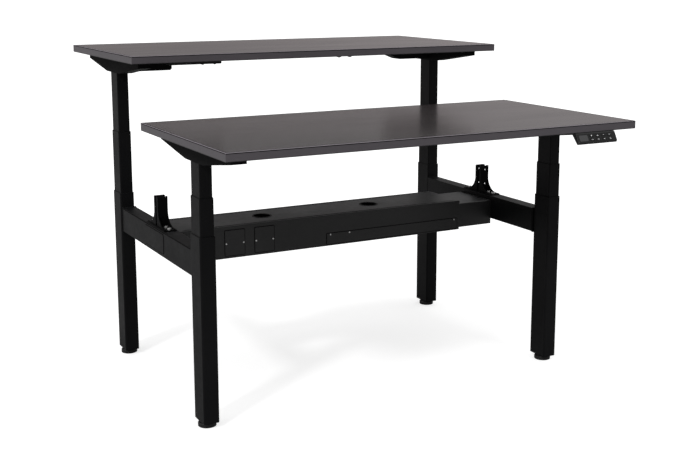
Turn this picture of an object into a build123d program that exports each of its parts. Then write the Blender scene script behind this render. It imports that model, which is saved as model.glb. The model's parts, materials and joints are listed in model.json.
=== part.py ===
"""Two-person back-to-back sit-stand desk.

Two work tops stand back to back on one shared frame. Each top has a pair of three-stage telescopic
columns and its own motors, control box and handset, so either side rises on its own.
Origin: on the floor, midway between the four columns. +X runs along the tops, +Y goes from the
front user to the rear user, +Z is up. Millimetres.
"""

from build123d import *
import os

os.makedirs("parts", exist_ok=True)

# ---------------------------------------------------------------- driving dimensions
TOP_LENGTH = 1400  # along X
TOP_DEPTH = 700  # along Y
TOP_THICK = 25
TOP_GAP = 70  # between the two tops
BAND = 2  # edge band thickness
BAND_ROUND = 0.8

COLUMN_X = 635
COLUMN_Y = (TOP_GAP + TOP_DEPTH) / 2
TUBE_BOTTOM = 18
COLUMN_TOP = 590  # top of the fixed outer tube

OUTER = (50, 80)
OUTER_WALL = 2
OUTER_ROUND = 5
MIDDLE = (44.8, 74.8)
MIDDLE_WALL = 1.8
MIDDLE_ROUND = 4
INNER = (40, 70)
INNER_WALL = 1.8
INNER_ROUND = 3.2

CLOSED_HEIGHT = 685  # work surface with the columns closed
STROKE = 600
FRONT_HEIGHT = 886  # work surface as modelled
REAR_HEIGHT = 1088

MIDDLE_SHOWN = 14  # middle tube showing above the outer one when closed
MIDDLE_LENGTH = 554
BRACKET_DEEP = 52  # side bracket depth at the column
BRACKET_TIP = 20
BRACKET_WIDE = 46
BRACKET_WALL = 2.5
BRACKET_REACH = 283  # from the column's centre to each tip
BRACKET_FLAT = 70  # half length of the full-depth stretch
BRACKET_ROUND = 6
GEARBOX_DEEP = 42  # from the underside of the top to the end of the inner tube
INNER_LENGTH = 562

HOUSING_END = (430, 455)  # X of the free ends of the left and right motor housings, seen from the user
HOUSING_WIDE = 62
HOUSING_DEEP = (44, 50)
HOUSING_WALL = 2.5
HOUSING_SLOPE = ((50, 20), (6, 6))  # run and rise at the free ends
MOTOR_R = 18
MOTOR_GAP = 1  # round the motor
MOTOR_LENGTH = (70, 118)
SHAFT_R = 12
SHAFT_BORE_R = 13

NUT_TUBE_R = (11.3, 14)
NUT_TUBE_TOP = 440
SLEEVE_R = (7.3, 11)
SLEEVE_SPAN = (50, 600)  # closed
SCREW_R = 7
SCREW_BOTTOM = 60  # closed

PLUG_TOP = 46
STUD_R = 4.9
STUD_TOP = 44
STUD_FIT = 0.05
FOOT_R = 28
FOOT_HIGH = 13
FOOT_CHAMFER = 1
FOOT_ROUND = 3

BEAM_X = 630
BEAM = (50, 84)
BEAM_WALL = 2.5
BEAM_ROUND = 3
BEAM_TOP = 540
FLANGE = 4
FLANGE_EXTRA = 2
COVER = (176, 62)
COVER_THICK = 1.2
COVER_ROUND = 5
COVER_RAISE = 2  # of the cover's middle above the beam's
ACCESS = (150, 44)

TRAY_X = (-605, 462)
TRAY_HALF = 99.8
TRAY_BOTTOM = 431
TRAY_WALL_TOP = 536.5
SHEET = 1.5
SLIDE_ROUND = 2.5
LID_HALF = 101.8
LID_LIP = 9
LID_LIP_WALL = 1.3
LID_ROUND = 1.2
LID_X = (-603, 462)
CABLE_HOLES_X = (-275, 140)
CABLE_HOLE_R = 31
GROMMET_BORE_R = 29
GROMMET_FLANGE_R = 34
GROMMET_FLANGE = 1
SLIDE_X = (430, 605)
SLIDE_HALF = 96
SLIDE_Z = (437, 525)
END_PLATE = 3
END_PLATE_FIT = 1

FLAP = (69, 84)
FLAPS_X = (-416.5, -310.5)
FLAP_Z = 482
STRIP_X = (-79, 452)
STRIP_Z = (437, 474)
TRAY_SCREWS_X = (-447, -386, -341, -280)
STRIP_SCREWS_X = (-65, 8, 439)
STRIP_SCREW_DROP = 4  # below the strip's upper edge
FLAP_SCREW_DROP = 2  # below the flaps' middle
FLAP_ROUND = 2
TRAY_SCREW_R = 2.5
TRAY_SCREW_HEAD = 1.4

BASE_PLATE = (44, 176, 3)
BASE_ROUND = 4
POST = (34, 12)
POST_GAP = 12
POST_WALL = 2
POST_TOP = 640
GUSSET = 2.5
GUSSET_HIGH = 46
GUSSET_FOOT = 3  # height at its outer end
GUSSET_MARGIN = 5  # from its outer end to the end of the base plate
GUSSET_HOLLOW = 0.3  # of its reach and height, at the middle of its curved edge
CLAMP_HOLE_R = 3.25
CLAMP_HOLES_Z = (572, 625)
BASE_BOLTS_Y = (-74, -44, 44, 74)

BOLT_R = 4
BOLT_HEAD_R = 6.5
BOLT_HEAD = 5
BOLT_HEX_R = 3.4
BOLT_SHORT = 0.3  # of the tube's inner face
FLANGE_BOLTS_Z = (478, 518)

BOX = (187, 80, 27)  # control box
BOX_X = 393.5
BOX_INWARD = 75  # from the line of the columns towards the middle of the desk
BOX_ROUND = 4
BOX_EDGE_ROUND = 1.5
INLET = (27, 20)
INLET_Y = 22
SOCKET = (9, 6)
SOCKETS_Y = (-25, -11)
SOCKET_DEEP = 12

HANDSET_X = 532
HANDSET_LONG = 155
FACE_TOP = (6, -3)  # distance out from the top's edge, height from its underside
FACE_FOOT = (20, -28)
HANDSET_OUTLINE = [(-18, 0), (3, 0), FACE_TOP, FACE_FOOT, (17, -34), (12, -34)]
HANDSET_ROUND = 1.5
KEY = (17, 8)
KEY_ROUND = 1.5
KEY_PITCH = 24
KEY_COLUMNS = 4
KEY_ROWS = (7.5, 20.5)  # down the sloping face
KEY_FIRST_X = -20
KEY_PROUD = 0.6
KEY_THICK = 3
KEY_GAP = 0.4
KEY_POCKET = 4
WINDOW = (34, 20)
WINDOW_X = -52
WINDOW_ROUND = 4
WINDOW_THICK = 1.5

LEFT_RIGHT = {"left": -1, "right": 1}
FRONT_REAR = {"front": -1, "rear": 1}
CORNERS = [
    (f"{end}_{side}", sx, sy)
    for end, sy in FRONT_REAR.items()
    for side, sx in LEFT_RIGHT.items()
]


def save(piece, node):
    """Labels a finished sub-part and writes its STEP file."""
    piece.part.label = node
    export_step(piece.part, f"parts/{node}.step")


def tube_profile(size, wall, corner):
    """A hollow rectangle with rounded corners, drawn in the current sketch."""
    RectangleRounded(size[0], size[1], corner)
    RectangleRounded(size[0] - 2 * wall, size[1] - 2 * wall, corner - wall, mode=Mode.SUBTRACT)


def ring_profile(inside, outside):
    """A round ring, drawn in the current sketch."""
    Circle(outside)
    Circle(inside, mode=Mode.SUBTRACT)


def facing(x, y, z, direction):
    """A plane at a point whose normal is the given direction and whose x axis is level."""
    if direction == "+Y":
        return Plane(origin=(x, y, z), x_dir=(-1, 0, 0), z_dir=(0, 1, 0))
    if direction == "-Y":
        return Plane(origin=(x, y, z), x_dir=(1, 0, 0), z_dir=(0, -1, 0))
    if direction == "+X":
        return Plane(origin=(x, y, z), x_dir=(0, 1, 0), z_dir=(1, 0, 0))
    return Plane(origin=(x, y, z), x_dir=(0, -1, 0), z_dir=(-1, 0, 0))


# ---------------------------------------------------------------- fixed columns and feet
for corner_name, sx, sy in CORNERS:
    inward = "-Y" if sy > 0 else "+Y"
    column_face = sy * (COLUMN_Y - OUTER[1] / 2)

    with BuildPart() as outer_tube:
        with BuildSketch(Plane.XY.offset(TUBE_BOTTOM)):
            with Locations((sx * COLUMN_X, sy * COLUMN_Y)):
                tube_profile(OUTER, OUTER_WALL, OUTER_ROUND)
        extrude(amount=COLUMN_TOP - TUBE_BOTTOM)
        for bolt_z in FLANGE_BOLTS_Z:
            with BuildSketch(facing(sx * BEAM_X, column_face, bolt_z, inward)):
                Circle(BOLT_R)
            extrude(amount=-OUTER_WALL, mode=Mode.SUBTRACT)
    save(outer_tube, f"outer_tube_{corner_name}")

    with BuildPart() as levelling_foot:
        with BuildSketch(Plane.XY):
            with Locations((sx * COLUMN_X, sy * COLUMN_Y)):
                Circle(FOOT_R)
        extrude(amount=FOOT_HIGH)
        chamfer(levelling_foot.faces().sort_by(Axis.Z)[0].edges(), length=FOOT_CHAMFER)
        fillet(levelling_foot.faces().sort_by(Axis.Z)[-1].edges(), radius=FOOT_ROUND)
        with BuildSketch(Plane.XY.offset(FOOT_HIGH)):
            with Locations((sx * COLUMN_X, sy * COLUMN_Y)):
                Circle(STUD_R)
        extrude(amount=STUD_TOP - FOOT_HIGH)
    save(levelling_foot, f"levelling_foot_{corner_name}")

with BuildPart() as base_plugs:
    column_points = [(sx * COLUMN_X, sy * COLUMN_Y) for _, sx, sy in CORNERS]
    with BuildSketch(Plane.XY.offset(TUBE_BOTTOM)):
        with Locations(*column_points):
            RectangleRounded(
                OUTER[0] - 2 * OUTER_WALL, OUTER[1] - 2 * OUTER_WALL, OUTER_ROUND - OUTER_WALL
            )
            Circle(STUD_R + STUD_FIT, mode=Mode.SUBTRACT)
    extrude(amount=PLUG_TOP - TUBE_BOTTOM)
    with BuildSketch(Plane.XY.offset(PLUG_TOP)):
        with Locations(*column_points):
            ring_profile(*NUT_TUBE_R)
    extrude(amount=NUT_TUBE_TOP - PLUG_TOP)
save(base_plugs, "base_plugs")

# ---------------------------------------------------------------- side beams
BEAM_END = COLUMN_Y - OUTER[1] / 2 - FLANGE
BEAM_MID_Z = BEAM_TOP - BEAM[1] / 2
COVER_Z = BEAM_MID_Z + COVER_RAISE
for side, sx in LEFT_RIGHT.items():
    with BuildPart() as side_beam:
        with BuildSketch(facing(sx * BEAM_X, -BEAM_END, BEAM_MID_Z, "+Y")):
            tube_profile(BEAM, BEAM_WALL, BEAM_ROUND)
        extrude(amount=2 * BEAM_END)
        for outward, sy in (("-Y", -1), ("+Y", 1)):
            with BuildSketch(facing(sx * BEAM_X, sy * BEAM_END, BEAM_MID_Z, outward)):
                RectangleRounded(BEAM[0], BEAM[1] + 2 * FLANGE_EXTRA, BEAM_ROUND)
            extrude(amount=FLANGE)
            for bolt_z in FLANGE_BOLTS_Z:
                with BuildSketch(facing(sx * BEAM_X, sy * BEAM_END, bolt_z, outward)):
                    Circle(BOLT_R)
                extrude(amount=FLANGE, mode=Mode.SUBTRACT)
        outer_side = "+X" if sx > 0 else "-X"
        with BuildSketch(facing(sx * (BEAM_X + BEAM[0] / 2), 0, COVER_Z, outer_side)):
            RectangleRounded(ACCESS[0], ACCESS[1], COVER_ROUND)
        extrude(amount=-BEAM_WALL, mode=Mode.SUBTRACT)
    save(side_beam, f"side_beam_{side}")

with BuildPart() as beam_covers:
    for sx in (-1, 1):
        outer_side = "+X" if sx > 0 else "-X"
        with BuildSketch(facing(sx * (BEAM_X + BEAM[0] / 2), 0, COVER_Z, outer_side)):
            RectangleRounded(COVER[0], COVER[1], COVER_ROUND)
        extrude(amount=COVER_THICK)
save(beam_covers, "beam_covers")

# ---------------------------------------------------------------- cable tray
TRAY_LONG = TRAY_X[1] - TRAY_X[0]
with BuildPart() as cable_tray:
    with BuildSketch(facing(TRAY_X[0], 0, 0, "+X")):
        with Locations((0, (TRAY_BOTTOM + TRAY_WALL_TOP) / 2)):
            Rectangle(2 * TRAY_HALF, TRAY_WALL_TOP - TRAY_BOTTOM)
        with Locations((0, (TRAY_BOTTOM + SHEET + TRAY_WALL_TOP) / 2)):
            Rectangle(
                2 * (TRAY_HALF - SHEET), TRAY_WALL_TOP - TRAY_BOTTOM - SHEET, mode=Mode.SUBTRACT
            )
    extrude(amount=TRAY_LONG)
save(cable_tray, "cable_tray")

with BuildPart() as tray_end_slide:
    slide_high = SLIDE_Z[1] - SLIDE_Z[0]
    with BuildSketch(facing(SLIDE_X[0], 0, (SLIDE_Z[0] + SLIDE_Z[1]) / 2, "+X")):
        tube_profile((2 * SLIDE_HALF, slide_high), SHEET, SLIDE_ROUND)
    extrude(amount=SLIDE_X[1] - SLIDE_X[0])
save(tray_end_slide, "tray_end_slide")

with BuildPart() as tray_end_plates:
    plate_half = TRAY_HALF - SHEET
    plate_high = TRAY_WALL_TOP - TRAY_BOTTOM - SHEET
    with BuildSketch(facing(TRAY_X[0], 0, TRAY_WALL_TOP - plate_high / 2, "+X")):
        Rectangle(2 * plate_half, plate_high)
    extrude(amount=END_PLATE)
    with BuildSketch(facing(SLIDE_X[1], 0, (SLIDE_Z[0] + SLIDE_Z[1]) / 2, "-X")):
        Rectangle(2 * (SLIDE_HALF - SHEET - END_PLATE_FIT), slide_high - 2 * (SHEET + END_PLATE_FIT))
    extrude(amount=END_PLATE)
save(tray_end_plates, "tray_end_plates")

with BuildPart() as tray_covers:
    for flap_x in FLAPS_X:
        with BuildSketch(facing(flap_x, -TRAY_HALF, FLAP_Z, "-Y")):
            RectangleRounded(FLAP[0], FLAP[1], FLAP_ROUND)
        extrude(amount=SHEET)
    strip_mid = ((STRIP_X[0] + STRIP_X[1]) / 2, (STRIP_Z[0] + STRIP_Z[1]) / 2)
    with BuildSketch(facing(strip_mid[0], -TRAY_HALF, strip_mid[1], "-Y")):
        RectangleRounded(STRIP_X[1] - STRIP_X[0], STRIP_Z[1] - STRIP_Z[0], FLAP_ROUND)
    extrude(amount=SHEET)
save(tray_covers, "tray_covers")

with BuildPart() as tray_lid:
    lid_mid = (LID_X[0] + LID_X[1]) / 2
    with BuildSketch(Plane.XY.offset(TRAY_WALL_TOP)):
        with Locations((lid_mid, 0)):
            Rectangle(LID_X[1] - LID_X[0], 2 * LID_HALF)
        with Locations(*[(hole_x, 0) for hole_x in CABLE_HOLES_X]):
            Circle(CABLE_HOLE_R, mode=Mode.SUBTRACT)
    extrude(amount=SHEET)
    with BuildSketch(Plane.XY.offset(TRAY_WALL_TOP)):
        lip_y = LID_HALF - LID_LIP_WALL / 2
        with Locations((lid_mid, lip_y), (lid_mid, -lip_y)):
            Rectangle(LID_X[1] - LID_X[0], LID_LIP_WALL)
    extrude(amount=-LID_LIP)
    top_edges = tray_lid.faces().sort_by(Axis.Z)[-1].outer_wire().edges().filter_by(Axis.X)
    fillet(top_edges, radius=LID_ROUND)
save(tray_lid, "tray_lid")

with BuildPart() as cable_grommets:
    holes = [(hole_x, 0) for hole_x in CABLE_HOLES_X]
    with BuildSketch(Plane.XY.offset(TRAY_WALL_TOP)):
        with Locations(*holes):
            ring_profile(GROMMET_BORE_R, CABLE_HOLE_R)
    extrude(amount=SHEET)
    with BuildSketch(Plane.XY.offset(TRAY_WALL_TOP + SHEET)):
        with Locations(*holes):
            ring_profile(GROMMET_BORE_R, GROMMET_FLANGE_R)
    extrude(amount=GROMMET_FLANGE)
save(cable_grommets, "cable_grommets")

# ---------------------------------------------------------------- screen brackets
with BuildPart() as screen_brackets:
    post_y = (POST_GAP + POST[1]) / 2
    plate_top = BEAM_TOP + BASE_PLATE[2]
    for sx in (-1, 1):
        with BuildSketch(Plane.XY.offset(BEAM_TOP)):
            with Locations((sx * BEAM_X, 0)):
                RectangleRounded(BASE_PLATE[0], BASE_PLATE[1], BASE_ROUND)
            with Locations(*[(sx * BEAM_X, bolt_y) for bolt_y in BASE_BOLTS_Y]):
                Circle(BOLT_R, mode=Mode.SUBTRACT)
        extrude(amount=BASE_PLATE[2])
        for sy in (-1, 1):
            with BuildSketch(Plane.XY.offset(plate_top)):
                with Locations((sx * BEAM_X, sy * post_y)):
                    Rectangle(*POST)
                with Locations((sx * BEAM_X, sy * (post_y - POST_WALL))):
                    Rectangle(POST[0] - 2 * POST_WALL, POST[1], mode=Mode.SUBTRACT)
            extrude(amount=POST_TOP - plate_top)
            for edge in (-1, 1):
                gusset_x = sx * BEAM_X + edge * (POST[0] - GUSSET) / 2
                web_y = post_y + POST[1] / 2
                reach = BASE_PLATE[1] / 2 - web_y - GUSSET_MARGIN
                gusset_plane = Plane(
                    origin=(gusset_x, sy * web_y, plate_top), x_dir=(0, sy, 0), z_dir=(sy, 0, 0)
                )
                with BuildSketch(gusset_plane):
                    with BuildLine():
                        Polyline((0, GUSSET_HIGH), (0, 0), (reach, 0), (reach, GUSSET_FOOT))
                        ThreePointArc(
                            (reach, GUSSET_FOOT),
                            (GUSSET_HOLLOW * reach, GUSSET_HOLLOW * GUSSET_HIGH),
                            (0, GUSSET_HIGH),
                        )
                    make_face()
                extrude(amount=GUSSET / 2, both=True)
        for hole_z in CLAMP_HOLES_Z:
            with BuildSketch(facing(sx * BEAM_X, -post_y - POST[1], hole_z, "+Y")):
                Circle(CLAMP_HOLE_R)
            extrude(amount=2 * (post_y + POST[1]), mode=Mode.SUBTRACT)
save(screen_brackets, "screen_brackets")

# ---------------------------------------------------------------- bolts and screws of the frame
with BuildPart() as fasteners:
    for _, sx, sy in CORNERS:
        outward = "+Y" if sy > 0 else "-Y"
        inward = "-Y" if sy > 0 else "+Y"
        for bolt_z in FLANGE_BOLTS_Z:
            with BuildSketch(facing(sx * BEAM_X, sy * BEAM_END, bolt_z, outward)):
                Circle(BOLT_R)
            extrude(amount=FLANGE + OUTER_WALL - BOLT_SHORT)
            with BuildSketch(facing(sx * BEAM_X, sy * BEAM_END, bolt_z, inward)):
                Circle(BOLT_HEAD_R)
            extrude(amount=BOLT_HEAD)
    base_bolts = [(sx * BEAM_X, bolt_y) for sx in (-1, 1) for bolt_y in BASE_BOLTS_Y]
    with BuildSketch(Plane.XY.offset(BEAM_TOP)):
        with Locations(*base_bolts):
            Circle(BOLT_R)
    extrude(amount=BASE_PLATE[2])
    with BuildSketch(Plane.XY.offset(BEAM_TOP + BASE_PLATE[2])):
        with Locations(*base_bolts):
            Circle(BOLT_HEAD_R)
            RegularPolygon(BOLT_HEX_R, 6, mode=Mode.SUBTRACT)
    extrude(amount=BOLT_HEAD)
    with BuildSketch(Plane.XY.offset(BEAM_TOP + BASE_PLATE[2])):
        with Locations(*base_bolts):
            Circle(BOLT_HEAD_R)
    extrude(amount=BOLT_HEAD / 2)
    screw_places = [(x, FLAP_Z - FLAP_SCREW_DROP) for x in TRAY_SCREWS_X]
    screw_places += [(x, STRIP_Z[1] - STRIP_SCREW_DROP) for x in STRIP_SCREWS_X]
    with BuildSketch(facing(0, -TRAY_HALF - SHEET, 0, "-Y")):
        with Locations(*screw_places):
            Circle(TRAY_SCREW_R)
    extrude(amount=TRAY_SCREW_HEAD)
save(fasteners, "fasteners")


# ---------------------------------------------------------------- one lifting side
def end_view(frame, x, underside):
    """A plane across a column pair's line, looking along X, with its origin at the panel's underside."""
    return Plane(
        origin=frame.from_local_coords(Vector(x, -COLUMN_Y, underside)),
        x_dir=frame.y_dir,
        z_dir=frame.x_dir,
    )


def motor_axis(frame, x, sx, underside):
    """A plane on a motor's axis whose normal points to the middle of the desk."""
    height = underside - BRACKET_WALL - MOTOR_R - MOTOR_GAP
    return Plane(
        origin=frame.from_local_coords(Vector(x, -COLUMN_Y, height)),
        x_dir=frame.y_dir,
        z_dir=-sx * frame.x_dir,
    )


def middle_stage(name, frame, lift):
    """The pair of middle tubes and the hollow screws inside them. They move half of the lift."""
    columns = [(-COLUMN_X, -COLUMN_Y), (COLUMN_X, -COLUMN_Y)]
    middle_top = COLUMN_TOP + MIDDLE_SHOWN + lift / 2

    with BuildPart() as middle_tubes:
        with BuildSketch(frame.offset(middle_top - MIDDLE_LENGTH)):
            with Locations(*columns):
                tube_profile(MIDDLE, MIDDLE_WALL, MIDDLE_ROUND)
        extrude(amount=MIDDLE_LENGTH)
    save(middle_tubes, f"{name}_middle_tubes")

    with BuildPart() as screw_sleeves:
        with BuildSketch(frame.offset(SLEEVE_SPAN[0] + lift / 2)):
            with Locations(*columns):
                ring_profile(*SLEEVE_R)
        extrude(amount=SLEEVE_SPAN[1] - SLEEVE_SPAN[0])
    save(screw_sleeves, f"{name}_screw_sleeves")


def work_top(name, frame, underside):
    """The panel and the band glued round its edge."""
    centre = (0, -COLUMN_Y)

    with BuildPart() as desktop:
        with BuildSketch(frame.offset(underside)):
            with Locations(centre):
                Rectangle(TOP_LENGTH - 2 * BAND, TOP_DEPTH - 2 * BAND)
        extrude(amount=TOP_THICK)
    save(desktop, f"{name}_desktop")

    with BuildPart() as edge_band:
        with BuildSketch(frame.offset(underside)):
            with Locations(centre):
                Rectangle(TOP_LENGTH, TOP_DEPTH)
        extrude(amount=TOP_THICK)
        fillet(edge_band.edges(), radius=BAND_ROUND)
        with BuildSketch(frame.offset(underside)):
            with Locations(centre):
                Rectangle(TOP_LENGTH - 2 * BAND, TOP_DEPTH - 2 * BAND)
        extrude(amount=TOP_THICK, mode=Mode.SUBTRACT)
    save(edge_band, f"{name}_edge_band")


def under_frame(name, frame, underside):
    """Inner tubes, side brackets, motor housings with their drives, and the lead screws."""
    columns = [(-COLUMN_X, -COLUMN_Y), (COLUMN_X, -COLUMN_Y)]
    tube_top = underside - GEARBOX_DEEP
    bracket_bottom = underside - BRACKET_DEEP

    with BuildPart() as inner_tubes:
        with BuildSketch(frame.offset(tube_top - INNER_LENGTH)):
            with Locations(*columns):
                tube_profile(INNER, INNER_WALL, INNER_ROUND)
        extrude(amount=INNER_LENGTH)
    save(inner_tubes, f"{name}_inner_tubes")

    with BuildPart() as side_brackets:
        for sx in (-1, 1):
            with BuildSketch(end_view(frame, sx * COLUMN_X, underside)):
                with BuildLine():
                    Polyline(
                        (-BRACKET_REACH, 0),
                        (-BRACKET_REACH, -BRACKET_TIP),
                        (-BRACKET_FLAT, -BRACKET_DEEP),
                        (BRACKET_FLAT, -BRACKET_DEEP),
                        (BRACKET_REACH, -BRACKET_TIP),
                        (BRACKET_REACH, 0),
                        close=True,
                    )
                make_face()
            extrude(amount=BRACKET_WIDE / 2, both=True)
        bracket_edges = side_brackets.edges().filter_by(Axis.X)
        fillet(bracket_edges.group_by(Axis.Z)[0], radius=BRACKET_ROUND)
        # each arm is a channel open to the panel above it, and the middle is closed round the tube
        near = BRACKET_FLAT + BRACKET_WALL
        far = BRACKET_REACH - BRACKET_WALL
        rise = BRACKET_WALL * (BRACKET_DEEP - BRACKET_TIP) / (BRACKET_REACH - BRACKET_FLAT)
        for sx in (-1, 1):
            for sy in (-1, 1):
                with BuildSketch(end_view(frame, sx * COLUMN_X, underside)):
                    with BuildLine():
                        Polyline(
                            (sy * near, 0),
                            (sy * near, BRACKET_WALL + rise - BRACKET_DEEP),
                            (sy * far, BRACKET_WALL - rise - BRACKET_TIP),
                            (sy * far, 0),
                            close=True,
                        )
                    make_face()
                extrude(amount=BRACKET_WIDE / 2 - BRACKET_WALL, both=True, mode=Mode.SUBTRACT)
            with BuildSketch(frame.offset(bracket_bottom + BRACKET_WALL)):
                with Locations((sx * COLUMN_X, -COLUMN_Y)):
                    Rectangle(BRACKET_WIDE - 2 * BRACKET_WALL, 2 * BRACKET_FLAT - 2 * BRACKET_WALL)
            extrude(amount=BRACKET_DEEP - 2 * BRACKET_WALL, mode=Mode.SUBTRACT)
            with BuildSketch(frame.offset(bracket_bottom)):
                with Locations((sx * COLUMN_X, -COLUMN_Y)):
                    RectangleRounded(INNER[0], INNER[1], INNER_ROUND)
            extrude(amount=BRACKET_WALL, mode=Mode.SUBTRACT)
            with BuildSketch(motor_axis(frame, sx * COLUMN_X, sx, underside)):
                Circle(SHAFT_BORE_R)
            extrude(amount=BRACKET_WIDE / 2, mode=Mode.SUBTRACT)
    save(side_brackets, f"{name}_side_brackets")

    housing_start = COLUMN_X - BRACKET_WIDE / 2
    with BuildPart() as motor_housings:
        for sx, end, deep, slope in zip((-1, 1), HOUSING_END, HOUSING_DEEP, HOUSING_SLOPE):
            housing_long = housing_start - end
            end_plane = Plane(
                origin=frame.from_local_coords(Vector(sx * housing_start, -COLUMN_Y, underside)),
                x_dir=-sx * frame.x_dir,
                z_dir=sx * frame.y_dir,
            )
            for shrink, mode in ((0, Mode.ADD), (HOUSING_WALL, Mode.SUBTRACT)):
                with BuildSketch(end_plane):
                    with BuildLine():
                        Polyline(
                            (shrink, 0),
                            (shrink, shrink - deep),
                            (housing_long - slope[0], shrink - deep),
                            (housing_long - shrink, slope[1] + shrink - deep),
                            (housing_long - shrink, 0),
                            close=True,
                        )
                    make_face()
                extrude(amount=HOUSING_WIDE / 2 - shrink, both=True, mode=mode)
            with BuildSketch(motor_axis(frame, sx * housing_start, sx, underside)):
                Circle(SHAFT_BORE_R)
            extrude(amount=HOUSING_WALL, mode=Mode.SUBTRACT)
    save(motor_housings, f"{name}_motor_housings")

    with BuildPart() as drive_units:
        with BuildSketch(frame.offset(tube_top)):
            with Locations(*columns):
                Rectangle(INNER[0], INNER[1])
        extrude(amount=GEARBOX_DEEP - BRACKET_WALL)
        shaft_long = BRACKET_WIDE / 2 + HOUSING_WALL + MOTOR_GAP
        for sx, motor_long in zip((-1, 1), MOTOR_LENGTH):
            axis = motor_axis(frame, sx * COLUMN_X, sx, underside)
            with BuildSketch(axis):
                Circle(SHAFT_R)
            extrude(amount=shaft_long)
            with BuildSketch(axis.offset(shaft_long)):
                Circle(MOTOR_R)
            extrude(amount=motor_long)
    save(drive_units, f"{name}_drive_units")

    with BuildPart() as lead_screws:
        screw_bottom = SCREW_BOTTOM + underside + TOP_THICK - CLOSED_HEIGHT
        with BuildSketch(frame.offset(screw_bottom)):
            with Locations(*columns):
                Circle(SCREW_R)
        extrude(amount=tube_top - screw_bottom)
    save(lead_screws, f"{name}_lead_screws")


def control_unit(name, frame, underside):
    """The flat control box, with its mains inlet and two sockets left as openings in its end."""
    box_y = BOX_INWARD - COLUMN_Y
    with BuildPart() as control_box:
        with BuildSketch(frame.offset(underside - BOX[2])):
            with Locations((BOX_X, box_y)):
                RectangleRounded(BOX[0], BOX[1], BOX_ROUND)
        extrude(amount=BOX[2])
        fillet(control_box.faces().sort_by(Axis.Z)[0].edges(), radius=BOX_EDGE_ROUND)
        inlet_end = Plane(
            origin=frame.from_local_coords(Vector(BOX_X - BOX[0] / 2, box_y, underside - BOX[2] / 2)),
            x_dir=-frame.y_dir,
            z_dir=-frame.x_dir,
        )
        with BuildSketch(inlet_end):
            with Locations((INLET_Y, 0)):
                Rectangle(*INLET)
            with Locations(*[(socket_y, 0) for socket_y in SOCKETS_Y]):
                Rectangle(*SOCKET)
        extrude(amount=-SOCKET_DEEP, mode=Mode.SUBTRACT)
    save(control_box, f"{name}_control_box")


def handset(name, frame, underside):
    """The wedge-shaped handset on the user's edge, its window and its eight keys."""
    user_edge = -COLUMN_Y - TOP_DEPTH / 2
    profile_plane = Plane(
        origin=frame.from_local_coords(Vector(HANDSET_X, user_edge, underside)),
        x_dir=-frame.y_dir,
        z_dir=-frame.x_dir,
    )
    down_face = Vector(FACE_FOOT[0] - FACE_TOP[0], FACE_FOOT[1] - FACE_TOP[1], 0).normalized()
    face_x = frame.x_dir
    face_down = -down_face.X * frame.y_dir + down_face.Y * frame.z_dir
    face_origin = profile_plane.from_local_coords(Vector(FACE_TOP[0], FACE_TOP[1], 0))
    face_plane = Plane(origin=face_origin, x_dir=face_x, z_dir=face_down.cross(face_x))
    key_places = [
        (KEY_FIRST_X + column * KEY_PITCH, -row)
        for row in KEY_ROWS
        for column in range(KEY_COLUMNS)
    ]

    with BuildPart() as housing:
        with BuildSketch(profile_plane):
            with BuildLine():
                Polyline(*HANDSET_OUTLINE, close=True)
            make_face()
        extrude(amount=HANDSET_LONG / 2, both=True)
        fillet(housing.faces().sort_by(Axis.X)[0].edges(), radius=HANDSET_ROUND)
        fillet(housing.faces().sort_by(Axis.X)[-1].edges(), radius=HANDSET_ROUND)
        with BuildSketch(face_plane):
            with Locations(*key_places):
                Rectangle(KEY[0] + 2 * KEY_GAP, KEY[1] + 2 * KEY_GAP)
        extrude(amount=-KEY_POCKET, mode=Mode.SUBTRACT)
        with BuildSketch(face_plane):
            with Locations((WINDOW_X, -sum(KEY_ROWS) / 2)):
                RectangleRounded(WINDOW[0], WINDOW[1], WINDOW_ROUND)
        extrude(amount=-WINDOW_THICK, mode=Mode.SUBTRACT)
    save(housing, f"{name}_handset_housing")

    with BuildPart() as display:
        with BuildSketch(face_plane):
            with Locations((WINDOW_X, -sum(KEY_ROWS) / 2)):
                RectangleRounded(WINDOW[0], WINDOW[1], WINDOW_ROUND)
        extrude(amount=-WINDOW_THICK)
    save(display, f"{name}_handset_display")

    for number, place in enumerate(key_places, start=1):
        with BuildPart() as key:
            with BuildSketch(face_plane.offset(KEY_PROUD - KEY_THICK)):
                with Locations(place):
                    RectangleRounded(KEY[0], KEY[1], KEY_ROUND)
            extrude(amount=KEY_THICK)
        save(key, f"{name}_key_{number}")


FRAMES = {
    "front": (Plane(origin=(0, 0, 0), x_dir=(1, 0, 0), z_dir=(0, 0, 1)), FRONT_HEIGHT),
    "rear": (Plane(origin=(0, 0, 0), x_dir=(-1, 0, 0), z_dir=(0, 0, 1)), REAR_HEIGHT),
}
for name, (frame, height) in FRAMES.items():
    lift = height - CLOSED_HEIGHT
    underside = height - TOP_THICK
    middle_stage(name, frame, lift)
    work_top(name, frame, underside)
    under_frame(name, frame, underside)
    control_unit(name, frame, underside)
    handset(name, frame, underside)
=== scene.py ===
"""The looks of a two-person back-to-back sit-stand desk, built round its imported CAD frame.

Metres, in the frame of the CAD model: origin on the floor, midway between the four columns,
+X along the work tops, +Y from the front user to the rear user, +Z up.
"""

import json
import math

import bmesh
import bpy
from mathutils import Matrix, Vector


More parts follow.
